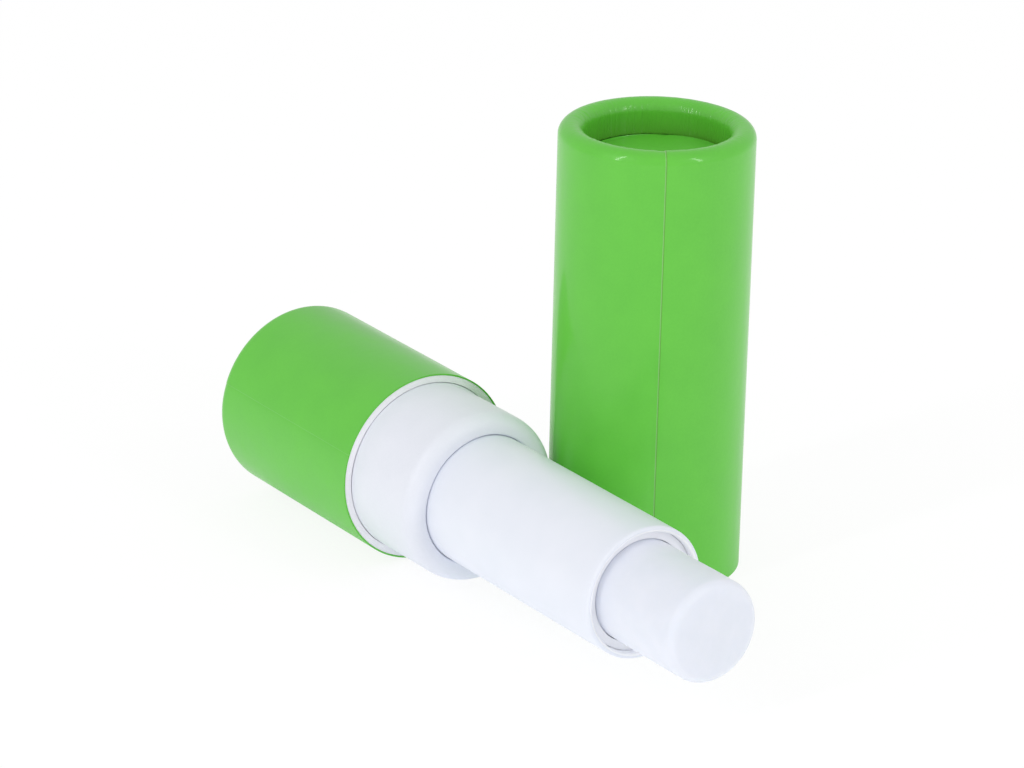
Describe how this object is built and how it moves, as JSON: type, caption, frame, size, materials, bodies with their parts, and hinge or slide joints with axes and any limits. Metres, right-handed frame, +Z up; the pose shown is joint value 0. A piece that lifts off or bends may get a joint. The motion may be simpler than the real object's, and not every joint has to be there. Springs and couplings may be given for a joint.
{
  "type": "lip balm stick",
  "caption": "Open twist-up lip balm in rolled paper tubes: a green base with white collar, sleeve and balm lies beside its standing green cap.",
  "frame": {"origin": "on the table, under the middle of the box round the lying stick and the standing cap", "axes": "+Z up; +X along the lying stick, from its closed back end to the balm; +Y across the stick, towards the standing cap"},
  "size_m": [0.0738, 0.039, 0.0473],
  "materials": {
    "green_paper": "smooth coated paper, satin",
    "white_paper": "smooth coated paper, satin",
    "white_board": "wound board, matte",
    "white_plastic": "moulded, semi-gloss",
    "balm": "cast wax balm, soft sheen"
  },
  "bodies": {
    "base": {"base_wrap": "green_paper", "base_board_tube": "white_board", "base_end_disc": "green_paper", "collar_wrap": "white_paper", "collar_board_tube": "white_board", "mechanism_holder": "white_plastic", "guide_tube": "white_plastic"},
    "sleeve": {"inner_sleeve": "white_plastic", "cam_tube": "white_plastic"},
    "balm": {"balm_cup": "white_plastic", "balm_bullet": "balm"},
    "cap": {"cap_wrap": "green_paper", "cap_board_tube": "white_board", "cap_end_disc": "green_paper"}
  },
  "joints": [
    {"name": "twist", "type": "hinge", "parent": "base", "child": "sleeve", "pos_m": [0, -0.00955, 0.01], "axis": [1, 0, 0], "range_deg": [-186, 522]},
    {"name": "balm_rise", "type": "slide", "parent": "base", "child": "balm", "axis": [1, 0, 0], "range_m": [-0.0124, 0.0348]},
    {"name": "cap_lift", "type": "slide", "parent": "base", "child": "cap", "axis": [0, 0, 1], "range_m": [0, 0.06]}
  ],
  "couplings": [
    {"joint": "balm_rise", "follows": "twist", "m_per_rad": 0.0038197}
  ]
}
